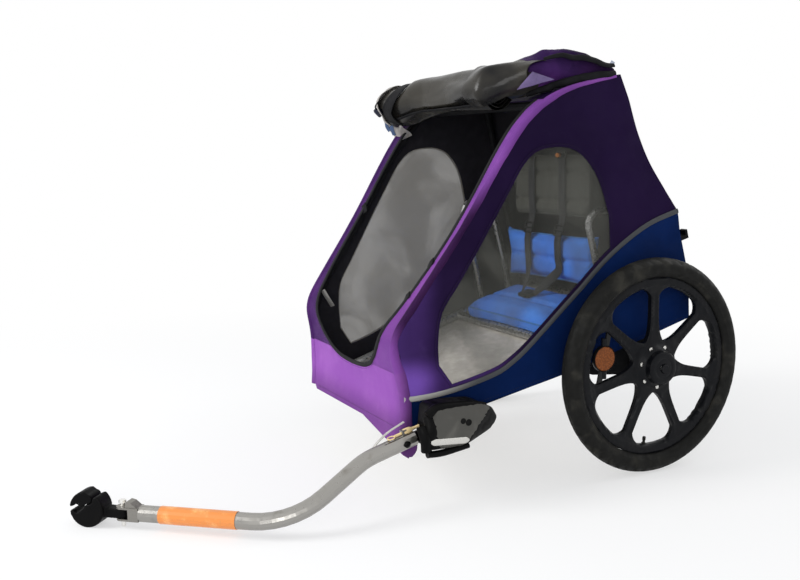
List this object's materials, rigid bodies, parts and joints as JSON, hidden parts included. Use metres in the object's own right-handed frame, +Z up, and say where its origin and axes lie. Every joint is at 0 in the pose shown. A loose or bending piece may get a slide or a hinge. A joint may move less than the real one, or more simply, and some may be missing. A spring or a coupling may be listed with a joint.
{
  "type": "child bicycle trailer",
  "caption": "Bicycle trailer with a fabric body on a tube frame, a padded child seat behind a front opening, spoked wheels and a bent tow bar.",
  "frame": {"origin": "on the floor, in the middle of the trailer's width and of its whole length with the tow bar", "axes": "+X to the trailer's left, -Y forward along the direction of travel towards the hitch, +Z up"},
  "size_m": [0.817, 1.5044, 0.9681],
  "materials": {
    "alloy_tube": "brushed",
    "polished_tube": "polished",
    "black_steel": "satin black",
    "axle_steel": "turned",
    "bracket_plastic": "moulded black",
    "wheel_plastic": "moulded black",
    "tyre_rubber": "worn, dusty",
    "purple_cloth": "coated weave",
    "dark_purple_cloth": "coated weave",
    "navy_cloth": "coated weave",
    "blue_cloth": "padded weave",
    "grey_cloth": "padded weave",
    "floor_cloth": "coated weave",
    "webbing": "woven strap",
    "clear_film": "clear film",
    "grey_film": "translucent grey film",
    "piping_tape": "reflective tape",
    "orange_band": "reflective film",
    "reflector_plastic": "moulded prisms",
    "hitch_plastic": "moulded black, worn",
    "pin_plastic": "yellowed",
    "bright_steel": "zinc"
  },
  "bodies": {
    "chassis": {"axle_tube": "axle_steel", "floor_sling": "floor_cloth", "folded_flap": "dark_purple_cloth", "front_cross_tube": "alloy_tube", "front_hoop": "alloy_tube", "harness_buckle": "bracket_plastic", "left_arm_hoop": "polished_tube", "left_axle_bracket": "bracket_plastic", "left_front_band": "purple_cloth", "left_lower_side": "navy_cloth", "left_piping": "piping_tape", "left_shoulder_strap": "webbing", "left_side_panel": "dark_purple_cloth", "left_side_rail": "alloy_tube", "left_window": "clear_film", "lower_backrest": "blue_cloth", "nose_panel": "purple_cloth", "rear_cross_tube": "alloy_tube", "rear_hook": "bracket_plastic", "rear_hoop": "alloy_tube", "rear_lower_panel": "navy_cloth", "rear_panel": "dark_purple_cloth", "receiver_bolt": "black_steel", "receiver_plate": "bright_steel", "right_arm_hoop": "polished_tube", "right_axle_bracket": "bracket_plastic", "right_front_band": "purple_cloth", "right_lower_side": "navy_cloth", "right_piping": "piping_tape", "right_shoulder_strap": "webbing", "right_side_panel": "dark_purple_cloth", "right_side_rail": "alloy_tube", "right_window": "clear_film", "roll_strap": "webbing", "rolled_cover": "grey_film", "roof_panel": "dark_purple_cloth", "seat_bar": "alloy_tube", "seat_cushion": "blue_cloth", "tow_bar_receiver": "bracket_plastic", "upper_backrest": "grey_cloth"},
    "tow_bar": {"tow_bar": "alloy_tube", "reflective_band": "orange_band", "tow_bar_fork": "black_steel", "hitch_pin": "bright_steel"},
    "lock_pin": {"lock_pin": "pin_plastic"},
    "coupler": {"coupler_body": "hitch_plastic"},
    "coupler_jaw": {"coupler_jaw": "hitch_plastic"},
    "clamp_knob": {"clamp_knob": "hitch_plastic"},
    "left_wheel": {"left_tyre": "tyre_rubber", "left_wheel": "wheel_plastic", "left_hub_bearing": "axle_steel", "left_axle_pin": "axle_steel", "left_reflector": "reflector_plastic"},
    "left_button": {"left_release_button": "bracket_plastic"},
    "right_wheel": {"right_tyre": "tyre_rubber", "right_wheel": "wheel_plastic", "right_hub_bearing": "axle_steel", "right_axle_pin": "axle_steel", "right_reflector": "reflector_plastic"},
    "right_button": {"right_release_button": "bracket_plastic"}
  },
  "joints": [
    {"name": "tow_bar_fold", "type": "hinge", "parent": "chassis", "child": "tow_bar", "pos_m": [0.302, -0.11095, 0.14551], "axis": [1, 0, 0], "range_deg": [0, 125]},
    {"name": "lock_pin_pull", "type": "slide", "parent": "tow_bar", "child": "lock_pin", "axis": [0, -0.9659, -0.2589], "range_m": [0, 0.02]},
    {"name": "coupler_yaw", "type": "hinge", "parent": "tow_bar", "child": "coupler", "pos_m": [0.111, -0.65615, 0.032], "axis": [0, 0, 1], "range_deg": [-60, 60]},
    {"name": "jaw_open", "type": "hinge", "parent": "coupler", "child": "coupler_jaw", "pos_m": [0.06569, -0.70819, 0.06], "axis": [-0.7542, 0.6567, 0], "range_deg": [0, 35]},
    {"name": "knob_turn", "type": "hinge", "parent": "coupler", "child": "clamp_knob", "pos_m": [0.06569, -0.70819, 0.026], "axis": [0.7542, -0.6567, 0], "continuous": true},
    {"name": "left_wheel_spin", "type": "hinge", "parent": "chassis", "child": "left_wheel", "pos_m": [0.364, 0.50293, 0.25], "axis": [1, 0, 0], "continuous": true},
    {"name": "right_wheel_spin", "type": "hinge", "parent": "chassis", "child": "right_wheel", "pos_m": [-0.364, 0.50293, 0.25], "axis": [1, 0, 0], "continuous": true},
    {"name": "left_button_press", "type": "slide", "parent": "left_wheel", "child": "left_button", "axis": [-1, 0, 0], "range_m": [0, 0.004], "stiffness_N_per_m": 400},
    {"name": "right_button_press", "type": "slide", "parent": "right_wheel", "child": "right_button", "axis": [1, 0, 0], "range_m": [0, 0.004], "stiffness_N_per_m": 400}
  ]
}
